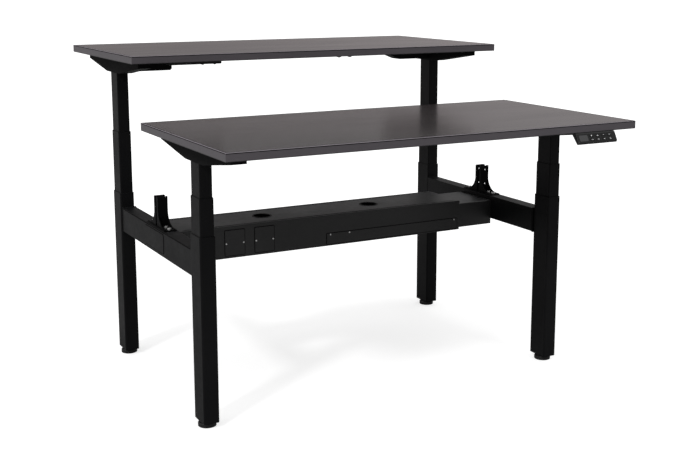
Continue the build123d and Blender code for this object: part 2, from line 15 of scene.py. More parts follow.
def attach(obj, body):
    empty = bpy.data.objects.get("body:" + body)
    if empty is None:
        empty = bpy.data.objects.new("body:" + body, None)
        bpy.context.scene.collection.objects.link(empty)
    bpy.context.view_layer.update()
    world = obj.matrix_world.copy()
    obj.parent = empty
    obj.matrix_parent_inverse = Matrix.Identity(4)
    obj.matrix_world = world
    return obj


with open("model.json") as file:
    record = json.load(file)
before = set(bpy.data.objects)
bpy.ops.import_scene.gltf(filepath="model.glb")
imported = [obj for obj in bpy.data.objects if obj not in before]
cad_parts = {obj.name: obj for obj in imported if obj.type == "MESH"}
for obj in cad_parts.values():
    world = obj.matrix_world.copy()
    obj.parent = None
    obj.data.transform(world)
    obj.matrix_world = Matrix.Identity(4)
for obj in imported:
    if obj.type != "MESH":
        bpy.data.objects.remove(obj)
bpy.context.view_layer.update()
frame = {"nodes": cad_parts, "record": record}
nodes = frame["nodes"]

MM = 0.001
SIDES = ("front", "rear")
FACING = {"front": -1, "rear": 1}  # the sign of Y on each user's side
SIGNS = (-1, 1)


# ---------------------------------------------------------------- places in mm, read off the frame
def extent(node_name):
    """The lowest and the highest corner of a CAD node at rest, in millimetres."""
    node = nodes[node_name]
    corners = [node.matrix_world @ Vector(corner) for corner in node.bound_box]
    return [[round(pick(c[axis] for c in corners) / MM, 1) for axis in range(3)] for pick in (min, max)]


def middle(node_name, axis):
    """Halfway between the two ends of a CAD node along one axis, in millimetres."""
    lowest, highest = extent(node_name)
    return (lowest[axis] + highest[axis]) / 2


COLUMN_X = middle("outer_tube_rear_right", 0)
COLUMN_Y = middle("outer_tube_rear_right", 1)
OUTER_MOUTH = extent("outer_tube_rear_right")[1][2]
MIDDLE_MOUTH = {side: extent(f"{side}_middle_tubes")[1][2] for side in SIDES}
UNDERSIDE = {side: extent(f"{side}_desktop")[0][2] for side in SIDES}
SURFACE = {side: extent(f"{side}_desktop")[1][2] for side in SIDES}
PANEL = (2 * extent("rear_desktop")[1][0], 2 * (extent("rear_desktop")[1][1] - COLUMN_Y))
TOP_HALF = (extent("rear_edge_band")[1][0], extent("rear_edge_band")[1][1] - COLUMN_Y)
TOP_FRONT = extent("front_edge_band")[0][1]
BOX_BASE = {side: extent(f"{side}_control_box")[0][2] for side in SIDES}
HANDSET_X = middle("front_handset_housing", 0)
BEAM_X = middle("side_beam_right", 0)
BEAM_Z = middle("side_beam_right", 2)
BEAM_FACE = extent("side_beam_right")[1][0]
BEAM_END = extent("side_beam_right")[1][1]
BEAM = (50, 84)  # the beam's section
BEAM_ROUND = 3
TRAY_FACE = extent("cable_tray")[0][1]
LID_LOW, LID_HIGH = extent("tray_lid")


# ---------------------------------------------------------------- material helpers
class Tree:
    """A material's node tree, with short ways to add the nodes that these materials use."""

    def __init__(self, name):
        self.material = bpy.data.materials.new(name)
        self.material.use_nodes = True
        self.nodes = self.material.node_tree.nodes
        self.links = self.material.node_tree.links
        self.nodes.clear()
        self.shader = self.add("ShaderNodeBsdfPrincipled")
        output = self.add("ShaderNodeOutputMaterial")
        self.links.new(self.shader.outputs["BSDF"], output.inputs["Surface"])
        self.place = self.add("ShaderNodeTexCoord").outputs["Object"]

    def add(self, kind, **settings):
        node = self.nodes.new(kind)
        for key, value in settings.items():
            setattr(node, key, value)
        return node

    def put(self, socket, value):
        """Links a socket, or sets a constant on the input itself."""
        if isinstance(value, bpy.types.NodeSocket):
            self.links.new(value, socket)
        else:
            socket.default_value = value

    def stretched(self, scale):
        """The place on the object, scaled along each axis."""
        node = self.add("ShaderNodeMapping")
        self.links.new(self.place, node.inputs["Vector"])
        node.inputs["Scale"].default_value = scale
        return node.outputs["Vector"]

    def noise(self, scale, detail=2.0, roughness=0.5, place=None, distortion=0.0):
        node = self.add("ShaderNodeTexNoise")
        self.links.new(place or self.place, node.inputs["Vector"])
        node.inputs["Scale"].default_value = scale
        node.inputs["Detail"].default_value = detail
        node.inputs["Roughness"].default_value = roughness
        node.inputs["Distortion"].default_value = distortion
        return node.outputs["Fac"]

    def cells(self, scale):
        node = self.add("ShaderNodeTexVoronoi")
        self.links.new(self.place, node.inputs["Vector"])
        node.inputs["Scale"].default_value = scale
        return node.outputs["Distance"]

    def remap(self, value, low, high, to_low, to_high):
        node = self.add("ShaderNodeMapRange")
        self.links.new(value, node.inputs["Value"])
        for key, number in (
            ("From Min", low), ("From Max", high), ("To Min", to_low), ("To Max", to_high)
        ):
            node.inputs[key].default_value = number
        return node.outputs["Result"]

    def math(self, operation, first, second=0.0):
        node = self.add("ShaderNodeMath", operation=operation)
        self.put(node.inputs[0], first)
        self.put(node.inputs[1], second)
        return node.outputs["Value"]

    def mix(self, factor, first, second):
        """A colour between two colours."""
        node = self.add("ShaderNodeMix", data_type="RGBA")
        self.put(node.inputs["Factor"], factor)
        self.put(node.inputs["A"], first)
        self.put(node.inputs["B"], second)
        return node.outputs["Result"]

    def edge(self, radius):
        """0 on flat stretches, rising towards 1 along edges, and the normal rounded at them."""
        bevel = self.add("ShaderNodeBevel", samples=4)
        bevel.inputs["Radius"].default_value = radius
        geometry = self.add("ShaderNodeNewGeometry")
        dot = self.add("ShaderNodeVectorMath", operation="DOT_PRODUCT")
        self.links.new(bevel.outputs["Normal"], dot.inputs[0])
        self.links.new(geometry.outputs["Normal"], dot.inputs[1])
        return self.remap(dot.outputs["Value"], 0.995, 0.8, 0.0, 1.0), bevel.outputs["Normal"]

    def bump(self, height, strength, distance, normal=None):
        node = self.add("ShaderNodeBump")
        self.links.new(height, node.inputs["Height"])
        node.inputs["Strength"].default_value = strength
        node.inputs["Distance"].default_value = distance
        if normal is not None:
            self.links.new(normal, node.inputs["Normal"])
        return node.outputs["Normal"]

    def finish(self, colour, rough, normal=None, metallic=0.0, specular=0.5, coat=0.0, coat_rough=0.1):
        inputs = self.shader.inputs
        self.put(inputs["Base Color"], colour)
        self.put(inputs["Roughness"], rough)
        inputs["Metallic"].default_value = metallic
        inputs["Specular IOR Level"].default_value = specular
        inputs["Coat Weight"].default_value = coat
        inputs["Coat Roughness"].default_value = coat_rough
        if normal is not None:
            self.links.new(normal, inputs["Normal"])
        return self.material


def rgb(*values):
    return (*values, 1.0)


def scaled(colour, share):
    return (*(channel * share for channel in colour[:3]), 1.0)


# ---------------------------------------------------------------- materials
def powder_coat(name, colour, rough, specular, peel=0.22):
    """Fine-texture powder coat: a pebbled skin, an uneven sheen and lighter edges, partly rubbed thin and
    partly a painted highlight.
    """
    tree = Tree(name)
    edge, rounded = tree.edge(0.9 * MM)
    cloud = tree.noise(7.0, 3.0, 0.55)
    dust = tree.noise(60.0, 4.0, 0.7)
    grain = tree.noise(1500.0, 2.0, 0.6)
    pebble = tree.cells(900.0)
    # Lighter edges, uneven with noise: partly wear, partly a painted highlight.
    wear_and_highlight = tree.math("MULTIPLY", edge, tree.remap(tree.noise(120.0, 3.0, 0.7), 0.35, 0.75, 0.15, 1.0))
    base = tree.mix(tree.remap(cloud, 0.3, 0.7, 0.0, 1.0), scaled(colour, 0.82), scaled(colour, 1.2))
    speck = tree.mix(tree.remap(grain, 0.45, 0.75, 0.0, 0.5), base, scaled(colour, 1.9))
    # Edges lifted towards a light grey: wear and a painted highlight.
    worn_and_highlighted = tree.mix(tree.math("MULTIPLY", wear_and_highlight, 0.55), speck, scaled(colour, 3.6))
    sheen = tree.math(
        "ADD",
        tree.remap(cloud, 0.25, 0.75, rough - 0.05, rough + 0.05),
        tree.remap(dust, 0.3, 0.7, -0.03, 0.04),
    )
    sheen = tree.math("SUBTRACT", sheen, tree.math("MULTIPLY", wear_and_highlight, 0.1))
    skin = tree.math("ADD", pebble, tree.math("MULTIPLY", grain, 0.6))
    return tree.finish(worn_and_highlighted, sheen, tree.bump(skin, peel, 0.06 * MM, rounded), specular=specular)


def melamine(name, colour, rough, specular):
    """Melamine-faced board: a fine pearl grain, faint mottling and a dark glue line at the band."""
    tree = Tree(name)
    edge, _ = tree.edge(0.7 * MM)
    cloud = tree.noise(2.2, 4.0, 0.6)
    smear = tree.noise(5.0, 3.0, 0.6, tree.stretched((0.35, 1.6, 1.0)), 0.6)
    pearl = tree.cells(1100.0)
    fleck = tree.noise(420.0, 3.0, 0.65)
    tone = tree.mix(tree.remap(cloud, 0.3, 0.7, 0.0, 1.0), scaled(colour, 0.93), scaled(colour, 1.07))
    flecked = tree.mix(tree.remap(fleck, 0.4, 0.75, 0.0, 0.45), tone, scaled(colour, 1.45))
    glue = tree.mix(edge, flecked, scaled(colour, 0.1))
    sheen = tree.math(
        "ADD",
        tree.remap(smear, 0.3, 0.7, rough - 0.015, rough + 0.02),
        tree.remap(fleck, 0.3, 0.7, -0.01, 0.01),
    )
    return tree.finish(glue, sheen, tree.bump(pearl, 0.06, 0.02 * MM), specular=specular)


def banding(name, colour, rough, specular):
    """Plastic edge band: fine lines along it, a painted highlight on its edges and upper arris, and painted
    shade along its lower edge.
    """
    tree = Tree(name)
    edge, rounded = tree.edge(0.8 * MM)
    cloud = tree.noise(4.0, 3.0, 0.6)
    line = tree.noise(14.0, 3.0, 0.6, tree.stretched((1.0, 1.0, 90.0)))
    scuff = tree.noise(90.0, 4.0, 0.75)
    tone = tree.mix(tree.remap(cloud, 0.3, 0.7, 0.0, 1.0), scaled(colour, 0.92), scaled(colour, 1.08))
    lined = tree.mix(tree.remap(line, 0.35, 0.7, 0.0, 0.35), tone, scaled(colour, 1.3))
    # Painted highlight along the band's edges, made uneven by the scuff noise.
    painted_edge_highlight = tree.math("MULTIPLY", edge, tree.remap(scuff, 0.35, 0.7, 0.25, 0.8))
    band_with_painted_light = tree.mix(painted_edge_highlight, lined, scaled(colour, 3.2))
    split = tree.add("ShaderNodeSeparateXYZ")
    tree.links.new(tree.place, split.inputs["Vector"])
    # Painted highlight along the upper arris of each band and painted shade along its lower edge.
    for surface in SURFACE.values():
        for depth, half, tint in ((0.3, 0.7, scaled(colour, 4.0)), (24.0, 1.3, scaled(colour, 0.15))):
            level = (surface - depth) * MM
            away = tree.math("ABSOLUTE", tree.math("SUBTRACT", split.outputs["Z"], level))
            stripe = tree.remap(away, half * MM, half * 0.6 * MM, 0.0, 1.0)
            uneven = tree.math("MULTIPLY", stripe, tree.remap(scuff, 0.3, 0.7, 0.75, 1.0))
            band_with_painted_light = tree.mix(uneven, band_with_painted_light, tint)
    sheen = tree.math(
        "SUBTRACT",
        tree.remap(scuff, 0.3, 0.7, rough - 0.03, rough + 0.06),
        tree.math("MULTIPLY", edge, 0.06),
    )
    return tree.finish(band_with_painted_light, sheen, tree.bump(line, 0.1, 0.04 * MM, rounded), specular=specular)


def moulded(name, colour, rough, specular=0.5, grain=1200.0, coat=0.0, depth=0.16):
    """Injection-moulded plastic: a spark-eroded grain, faint flow marks and a painted highlight on edges."""
    tree = Tree(name)
    edge, rounded = tree.edge(0.5 * MM)
    flow = tree.noise(16.0, 3.0, 0.6, tree.stretched((1.0, 2.4, 0.7)), 0.8)
    smudge = tree.noise(38.0, 4.0, 0.7)
    skin = tree.noise(grain, 3.0, 0.7)
    tone = tree.mix(tree.remap(flow, 0.3, 0.7, 0.0, 1.0), scaled(colour, 0.85), scaled(colour, 1.18))
    # Painted highlight on the edges.
    with_painted_highlight = tree.mix(tree.math("MULTIPLY", edge, 0.5), tone, scaled(colour, 2.6))
    sheen = tree.math(
        "SUBTRACT",
        tree.remap(smudge, 0.3, 0.72, rough - 0.05, rough + 0.08),
        tree.math("MULTIPLY", edge, 0.08),
    )
    normal = tree.bump(skin, depth, 0.05 * MM, rounded)
    return tree.finish(with_painted_highlight, sheen, normal, specular=specular, coat=coat)


def bare_metal(name, colour, rough, stretch=(1.0, 1.0, 1.0), dull=0.5):
    """Zinc or rolled steel: cloudy crystals, fine scratches, darker film in places and a painted highlight on
    edges.
    """
    tree = Tree(name)
    edge, rounded = tree.edge(0.4 * MM)
    crystal = tree.cells(520.0)
    scratch = tree.noise(240.0, 4.0, 0.7, tree.stretched(stretch))
    film = tree.noise(45.0, 3.0, 0.65)
    tone = tree.mix(tree.remap(film, 0.35, 0.75, 0.0, dull), colour, scaled(colour, 0.45))
    # Painted highlight on the edges.
    painted_edge_highlight = tree.mix(tree.math("MULTIPLY", edge, 0.5), tone, scaled(colour, 1.25))
    sheen = tree.math(
        "ADD",
        tree.remap(crystal, 0.0, 0.8, rough - 0.07, rough + 0.08),
        tree.remap(film, 0.3, 0.8, 0.0, 0.12),
    )
    return tree.finish(painted_edge_highlight, sheen, tree.bump(scratch, 0.2, 0.03 * MM, rounded), metallic=1.0)


def smoked(name, colour):
    """Smoked display window: deep gloss with faint cloudy smudges and a few hairline scratches."""
    tree = Tree(name)
    smudge = tree.noise(70.0, 4.0, 0.7)
    hair = tree.noise(300.0, 2.0, 0.5, tree.stretched((1.0, 8.0, 2.0)))
    tone = tree.mix(tree.remap(smudge, 0.35, 0.75, 0.0, 0.6), colour, scaled(colour, 2.2))
    sheen = tree.remap(smudge, 0.35, 0.75, 0.07, 0.2)
    return tree.finish(tone, sheen, tree.bump(hair, 0.03, 0.01 * MM), specular=0.6, coat=0.5, coat_rough=0.05)


def printed(name, colour):
    """Pale printed ink: slightly uneven cover and a dry, matt surface."""
    tree = Tree(name)
    cover = tree.noise(900.0, 3.0, 0.7)
    tone = tree.mix(tree.remap(cover, 0.3, 0.7, 0.0, 1.0), scaled(colour, 0.82), colour)
    return tree.finish(tone, tree.remap(cover, 0.3, 0.7, 0.5, 0.65), tree.bump(cover, 0.2, 0.02 * MM))


LOOKS = {
    "frame_black": powder_coat("powder_coat_frame", rgb(0.0045, 0.0045, 0.0049), 0.46, 0.1),
    "tray_black": powder_coat("powder_coat_tray", rgb(0.0072, 0.0072, 0.0076), 0.44, 0.5, 0.2),
    "bracket_black": powder_coat("powder_coat_bracket", rgb(0.0028, 0.0028, 0.003), 0.46, 0.04),
    "housing_black": powder_coat("powder_coat_housing", rgb(0.0075, 0.0075, 0.0078), 0.55, 0.015),
    "zinc_screws": bare_metal("zinc_plate", rgb(0.85, 0.85, 0.84), 0.42),
    "screw_steel": bare_metal("greased_steel", rgb(0.36, 0.36, 0.37), 0.36, (1.0, 1.0, 14.0), 0.8),
    "drive_metal": bare_metal("die_cast", rgb(0.14, 0.14, 0.145), 0.52, (1.0, 1.0, 1.0), 0.6),
    "plug_plastic": moulded("nylon_plug", rgb(0.004, 0.004, 0.0042), 0.46, 0.1, 900.0),
    "foot_plastic": moulded("nylon_foot", rgb(0.0075, 0.0075, 0.0078), 0.48, 0.4, 800.0, 0.0, 0.25),
    "grommet_rubber": moulded("rubber_grommet", rgb(0.006, 0.006, 0.006), 0.6, 0.35, 1500.0),
    "laminate_board": melamine("melamine_anthracite", rgb(0.032, 0.0275, 0.028), 0.2, 0.5),
    "edge_band": banding("band_anthracite", rgb(0.07, 0.063, 0.071), 0.38, 0.45),
    "control_plastic": moulded("box_plastic", rgb(0.009, 0.009, 0.0095), 0.52, 0.4, 1000.0, 0.0, 0.3),
    "handset_plastic": moulded("handset_plastic", rgb(0.003, 0.003, 0.0032), 0.26, 0.25, 1600.0, 0.05, 0.06),
    "display_window": smoked("smoked_window", rgb(0.0035, 0.0035, 0.0045)),
    "key_plastic": moulded("key_plastic", rgb(0.0035, 0.0035, 0.0037), 0.36, 0.25, 1800.0, 0.0, 0.1),
}
INK = printed("pale_ink", rgb(0.9, 0.91, 0.92))
# A near-black matt look for dark joints on the work surfaces and for painted shade in gaps and under arrises.
SHADOW = moulded("dark_joint_and_painted_shade", rgb(0.0008, 0.0008, 0.0008), 0.7, 0.02, 1500.0)
# Each node wears the look of its slot in the record, but for three that the photo shows otherwise.
NODE_LOOK = {part["node"]: part["material_slot"] for part in frame["record"]["subparts"]}
NODE_LOOK["beam_covers"] = "frame_black"
NODE_LOOK["front_side_brackets"] = "housing_black"
NODE_LOOK["rear_side_brackets"] = "housing_black"
for node_name, node in nodes.items():
    node.data.materials.clear()
    node.data.materials.append(LOOKS[NODE_LOOK[node_name]])


# ---------------------------------------------------------------- ways to build a piece
def settle(shape, name, body, slot_name, look=None, bevel=0.0):
    """Makes a piece of one body from a shape, with the look of its slot unless another is given."""
    bmesh.ops.recalc_face_normals(shape, faces=shape.faces)
    mesh = bpy.data.meshes.new(name)
    shape.to_mesh(mesh)
    shape.free()
    mesh.materials.append(look or LOOKS[slot_name])
    piece = bpy.data.objects.new(name, mesh)
    bpy.context.scene.collection.objects.link(piece)
    if bevel:
        rounding = piece.modifiers.new("rounding", "BEVEL")
        rounding.width = bevel * MM
        rounding.segments = 2
        rounding.limit_method = "ANGLE"
    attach(piece, body)


def loft(shape, loops, closed=False):
    """Faces through a row of equal loops of points, capped at both ends unless the row closes."""
    rings = [[shape.verts.new(point) for point in loop] for loop in loops]
    pairs = list(zip(rings, rings[1:]))
    if closed:
        pairs.append((rings[-1], rings[0]))
    for lower, upper in pairs:
        count = len(lower)
        for i in range(count):
            shape.faces.new((lower[i], lower[(i + 1) % count], upper[(i + 1) % count], upper[i]))
    if not closed:
        shape.faces.new(list(reversed(rings[0])))
        shape.faces.new(rings[-1])


def circle(radius, steps, start=0.0):
    """Points round a circle about the origin, from a starting angle in degrees."""
    turns = [math.radians(start) + math.tau * k / steps for k in range(steps)]
    return [(radius * math.cos(turn), radius * math.sin(turn)) for turn in turns]


def arch(half, high, steps):
    """Points along half an ellipse that hangs from the origin, from +X to -X."""
    turns = [math.pi * k / steps for k in range(steps + 1)]
    return [(half * math.cos(turn), -high * math.sin(turn)) for turn in turns]


def rounded_outline(long, wide, corner, grow=0.0, steps=6):
    """Points round a rectangle with rounded corners, about its centre, moved outwards by a growth."""
    radius = corner + grow
    points = []
    for quarter, (sx, sy) in enumerate(((1, 1), (-1, 1), (-1, -1), (1, -1))):
        for step in range(steps + 1):
            turn = math.radians(90 * (quarter + step / steps))
            x = sx * (long / 2 - corner) + radius * math.cos(turn)
            y = sy * (wide / 2 - corner) + radius * math.sin(turn)
            points.append((x, y))
    return points


def raised(outline, height, place):
    """The points of a flat outline in millimetres, at a height over the plane of a placement."""
    return [place @ Vector((x, y, height)) for x, y in outline]


def moved(x, y, z):
    """A placement at a point in millimetres."""
    return Matrix.Scale(MM, 4) @ Matrix.Translation((x, y, z))


def hollow(shape, place, size, corner, rows):
    """A ring round a rounded rectangle. Its section is a row of (growth, height) points."""
    outlines = [(rounded_outline(*size, corner, grow), height) for grow, height in rows]
    loft(shape, [raised(outline, height, place) for outline, height in outlines], closed=True)


def frame_of(shape, place, size, corner, line, high):
    """A thin closed frame round a rounded rectangle, on the plane of a placement."""
    hollow(shape, place, size, corner, ((0.0, 0.0), (line, 0.0), (line, high), (0.0, high)))


def block(shape, centre, size):
    """A box of three side lengths about its centre, in millimetres."""
    bmesh.ops.create_cube(shape, size=1.0, matrix=moved(*centre) @ Matrix.Diagonal((*size, 1.0)))


def head(shape, x, y, z, profile):
    """A screw head that hangs from its seat: (radius, depth) points round a vertical axis."""
    loft(shape, [raised(circle(radius, 24), -depth, moved(x, y, z)) for radius, depth in profile])


def from_front(side, x, y):
    """A place on the front user's side, or the same one for the rear user, half a turn about Z away."""
    return -FACING[side] * x, -FACING[side] * y


# ---------------------------------------------------------------- pieces that add detail
RING_LIP = 0.5
LOWER_RING = {"tube": (45.2, 75.2), "corner": 4.2, "wall": 2.2, "high": 1.6}
UPPER_RING = {"tube": (40.4, 70.4), "corner": 3.4, "wall": 2.0, "high": 1.4}


def glide_ring(shape, place, ring):
    """A thin collar round a telescopic tube, with a softened upper edge."""
    wall, high = ring["wall"], ring["high"]
    rows = ((0, 0), (wall, 0), (wall, high - RING_LIP), (wall - RING_LIP, high), (0, high))
    hollow(shape, place, ring["tube"], ring["corner"], rows)


def glide_rings():
    """Nylon rings at the mouths of the two outer telescope tubes of every column."""
    shape = bmesh.new()
    for sx in SIGNS:
        for sy in SIGNS:
            glide_ring(shape, moved(sx * COLUMN_X, sy * COLUMN_Y, OUTER_MOUTH), LOWER_RING)
    settle(shape, "glide_rings_lower", "base_frame", "plug_plastic")
    for side, sy in FACING.items():
        shape = bmesh.new()
        for sx in SIGNS:
            glide_ring(shape, moved(sx * COLUMN_X, sy * COLUMN_Y, MIDDLE_MOUTH[side]), UPPER_RING)
        settle(shape, f"glide_rings_{side}", f"{side}_middle_stage", "plug_plastic")


NUT_PROFILE = ((8.2, 13.2), (9.2, 13.8), (9.2, 16.8), (8.2, 17.4))  # (radius to a corner, height)
NUT_TURN = 12  # degrees


def lock_nuts():
    """A thin hexagon nut on the stud of every levelling foot."""
    for side, sy in FACING.items():
        for end, sx in (("left", -1), ("right", 1)):
            shape = bmesh.new()
            place = moved(sx * COLUMN_X, sy * COLUMN_Y, 0)
            loops = [raised(circle(radius, 6, NUT_TURN), height, place) for radius, height in NUT_PROFILE]
            loft(shape, loops)
            settle(shape, f"lock_nut_{side}_{end}", f"foot_{side}_{end}", "zinc_screws")


FACE_SLOPE = (0, -14, -25)  # down the handset's face
FACE_OUT = 6  # from the top's front edge to the face's upper end
FACE_DROP = 3  # from the top's underside to the face's upper end
FIRST_KEY = (-20, -7.5)
KEY_STEP = (24, -13)
MARK_FOOT = 0.6  # heights over the face
MARK_TOP = 0.68
WINDOW = (34, 20)
WINDOW_CORNER = 4
WINDOW_AT = (-52, -14)
RIM_ROWS = ((0.0, 0.0), (0.7, 0.0), (0.6, 0.35), (0.1, 0.35))  # (growth, height) round its section


def key_face(side):
    """The placement of a handset's sloping face: x along the keys, y up the slope, z out of it."""
    down = Vector(FACE_SLOPE).normalized()
    along = Vector((1, 0, 0))
    local = Matrix((along, -down, along.cross(-down))).transposed().to_4x4()
    local.translation = Vector((HANDSET_X, TOP_FRONT - FACE_OUT, UNDERSIDE[side] - FACE_DROP))
    turned = Matrix.Identity(4) if side == "front" else Matrix.Rotation(math.pi, 4, "Z")
    return Matrix.Scale(MM, 4) @ turned @ local


def dots(*places):
    """A small printed disc at each place."""
    return [[(x + px, y + py) for px, py in circle(0.85, 10)] for x, y in places]


def bar(half, low, high):
    """A printed bar, centred across a key, between two heights from the key's middle."""
    return [(-half, low), (half, low), (half, high), (-half, high)]


def key_marks():
    """Generic marks on the keys: down, up, one to four dots, a bar and a pair of bars."""
    up = [(-3.2, -1.6), (0, 1.6), (3.2, -1.6), (2.2, -2.4), (0, -0.2), (-2.2, -2.4)]
    down = [(-x, -y) for x, y in up]
    designs = (
        [down],
        [up],
        dots((0, 0)),
        dots((-1.5, 0), (1.5, 0)),
        dots((-2.6, 0), (0, 0), (2.6, 0)),
        dots((-1.5, -1.5), (1.5, -1.5), (-1.5, 1.5), (1.5, 1.5)),
        [bar(2.6, -0.6, 0.6)],
        [bar(2.4, 1.3, 2.1), bar(2.4, -2.1, -1.3)],
    )
    for side in SIDES:
        face = key_face(side)
        for number, design in enumerate(designs):
            row, column = divmod(number, 4)
            key_x = FIRST_KEY[0] + KEY_STEP[0] * column
            key_y = FIRST_KEY[1] + KEY_STEP[1] * row
            shape = bmesh.new()
            for outline in design:
                on_key = [(key_x + x, key_y + y) for x, y in outline]
                loft(shape, [raised(on_key, height, face) for height in (MARK_FOOT, MARK_TOP)])
            name = f"key_mark_{side}_{number + 1}"
            settle(shape, name, f"{side}_key_body_{number + 1}", "key_plastic", INK)


def window_details():
    """A raised rim round each display window."""
    for side in SIDES:
        place = key_face(side) @ Matrix.Translation((*WINDOW_AT, 0))
        shape = bmesh.new()
        hollow(shape, place, WINDOW, WINDOW_CORNER, RIM_ROWS)
        settle(shape, f"window_rim_{side}", f"{side}_desk", "handset_plastic")


CLIP_HALF = 8.5
CLIP_HIGH = 8.0
CLIP_THICK = 2.2
CLIP_DEPTH = 9.0
CLIP_PLACES = ((-75, -100), (-118, -100))
PAN_HEAD = ((4.6, 0), (4.4, 1.4), (3.0, 2.4), (1.0, 2.7))
PAN_HEAD_PLACES = ((324, -278), (369, -278))
MOULDED_EDGE = 0.3


def cable_clips():
    """Saddle clips for cables under each top, and pan heads by each control box's inner edge."""
    outer = arch(CLIP_HALF, CLIP_HIGH, 12)
    inner = arch(CLIP_HALF - CLIP_THICK, CLIP_HIGH - CLIP_THICK, 12)
    outline = outer + inner[::-1]
    for side in SIDES:
        shape = bmesh.new()
        for clip_x, clip_y in CLIP_PLACES:
            loops = []
            for end in (CLIP_DEPTH / 2, -CLIP_DEPTH / 2):
                rim = [(from_front(side, clip_x + x, clip_y + end), z) for x, z in outline]
                loops.append([Vector((*spot, UNDERSIDE[side] + z)) * MM for spot, z in rim])
            loft(shape, loops)
        for place in PAN_HEAD_PLACES:
            head(shape, *from_front(side, *place), BOX_BASE[side], PAN_HEAD)
        settle(shape, f"cable_clips_{side}", f"{side}_desk", "control_plastic", None, MOULDED_EDGE)


INLET_PINS = (((309, -339), -1.5), ((309, -325), -1.5), ((309, -332), 2.5))  # (place, rise)
INLET_PIN = (7, 1.6, 4)
SOCKET_PINS = ((310, -301), (310, -297), (310, -287), (310, -283))
SOCKET_PIN = (5, 0.8, 2)


def socket_contacts():
    """Contacts of the mains inlet and the motor sockets, inside their openings."""
    for side in SIDES:
        shape = bmesh.new()
        middle_z = (UNDERSIDE[side] + BOX_BASE[side]) / 2
        for place, rise in INLET_PINS:
            block(shape, (*from_front(side, *place), middle_z + rise), INLET_PIN)
        for place in SOCKET_PINS:
            block(shape, (*from_front(side, *place), middle_z), SOCKET_PIN)
        settle(shape, f"contacts_{side}", f"{side}_desk", "zinc_screws")


RIBS = 9
FIRST_RIB = (420, -310)
RIB_STEP = 7
RIB = (3, 52, 0.9)
RIB_DROP = 0.35  # from the box's lower face to the middle of a rib


def box_vents():
    """Raised ribs on the control box's lower face."""
    for side in SIDES:
        shape = bmesh.new()
        for k in range(RIBS):
            place = from_front(side, FIRST_RIB[0] + RIB_STEP * k, FIRST_RIB[1])
            block(shape, (*place, BOX_BASE[side] - RIB_DROP), RIB)
        settle(shape, f"box_ribs_{side}", f"{side}_desk", "control_plastic", None, MOULDED_EDGE)


BEAD = (3.0, 1.3)  # half its width, its height
BEAD_Y = 88
BEAD_SUNK = 0.1
BEAD_STEPS = 8
BEAD_ROWS = (  # (x, size) along a bead, tapered at both ends
    (LID_LOW[0] + 13, 0.3),
    (LID_LOW[0] + 19, 1.0),
    (LID_HIGH[0] - 18, 1.0),
    (LID_HIGH[0] - 12, 0.3),
)


def lid_ribs():
    """Two pressed beads along the tray's lid."""
    foot = LID_HIGH[2] - BEAD_SUNK
    shape = bmesh.new()
    for sy in SIGNS:
        loops = []
        for x, size in BEAD_ROWS:
            ridge = arch(BEAD[0] * size, BEAD[1] * size, BEAD_STEPS)
            loops.append([Vector((x, sy * BEAD_Y - py, foot - pz)) * MM for py, pz in ridge])
        loft(shape, loops)
    settle(shape, "lid_beads", "lid", "tray_black")


WELD = 1.1
WELD_FOOT = 4.8  # from the beam's end
WELD_SUNK = 0.2  # into the beam's wall


def beam_seams():
    """Weld beads round the box section of the beams, next to the end flanges."""
    foot = BEAM_END - WELD_FOOT
    at_foot = rounded_outline(*BEAM, BEAM_ROUND, WELD)
    on_beam = rounded_outline(*BEAM, BEAM_ROUND)
    inside = rounded_outline(BEAM[0] - 2 * WELD_SUNK, BEAM[1] - 2 * WELD_SUNK, BEAM_ROUND)
    rows = ((at_foot, foot), (on_beam, foot - WELD), (inside, foot - WELD), (inside, foot))
    shape = bmesh.new()
    for sx in SIGNS:
        for sy in SIGNS:
            loops = []
            for outline, y in rows:
                loops.append([Vector((sx * BEAM_X + px, sy * y, BEAM_Z + pz)) * MM for px, pz in outline])
            loft(shape, loops, closed=True)
    settle(shape, "beam_weld_beads", "base_frame", "frame_black")


TAB = (14, 22)
TAB_CORNER = 3
TAB_THICK = 2
TAB_X = 29  # from the column's middle
NEAR_TAB_Y = 120
FAR_TAB_Y = 230
CAP_HEAD = ((4.6, 0), (4.4, 1.2), (3.2, 2.2), (1.2, 2.5))


def panel_screws():
    """Tabs of the side brackets and their cap screws: four on each outer side, two on each inner one."""
    outline = rounded_outline(*TAB, TAB_CORNER)
    for side, sy in FACING.items():
        tabs = bmesh.new()
        heads = bmesh.new()
        for sx in SIGNS:
            outer_side = [(sx, y) for y in (-FAR_TAB_Y, -NEAR_TAB_Y, NEAR_TAB_Y, FAR_TAB_Y)]
            inner_side = [(-sx, y) for y in (-FAR_TAB_Y, FAR_TAB_Y)]
            for across, along in outer_side + inner_side:
                x = sx * COLUMN_X + across * TAB_X
                y = sy * COLUMN_Y + along
                place = moved(x, y, UNDERSIDE[side])
                loft(tabs, [raised(outline, height, place) for height in (-TAB_THICK, 0)])
                head(heads, x, y, UNDERSIDE[side] - TAB_THICK, CAP_HEAD)
        settle(tabs, f"bracket_tabs_{side}", f"{side}_desk", "bracket_black")
        settle(heads, f"panel_screws_{side}", f"{side}_desk", "zinc_screws")


LINE_WIDE = 2.3  # of the joint on the work surface
LINE_SUNK = 0.05
LINE_HIGH = 0.2
SHADE_STRIPE = (0.3, 1.9)  # thickness and height of the painted shade line on the edges
SHADE_STRIPE_DEPTH = 2.4  # from the work surface to its middle
SHADE_STRIPE_SHORT = 2  # how far it stays short of a corner, both ends together


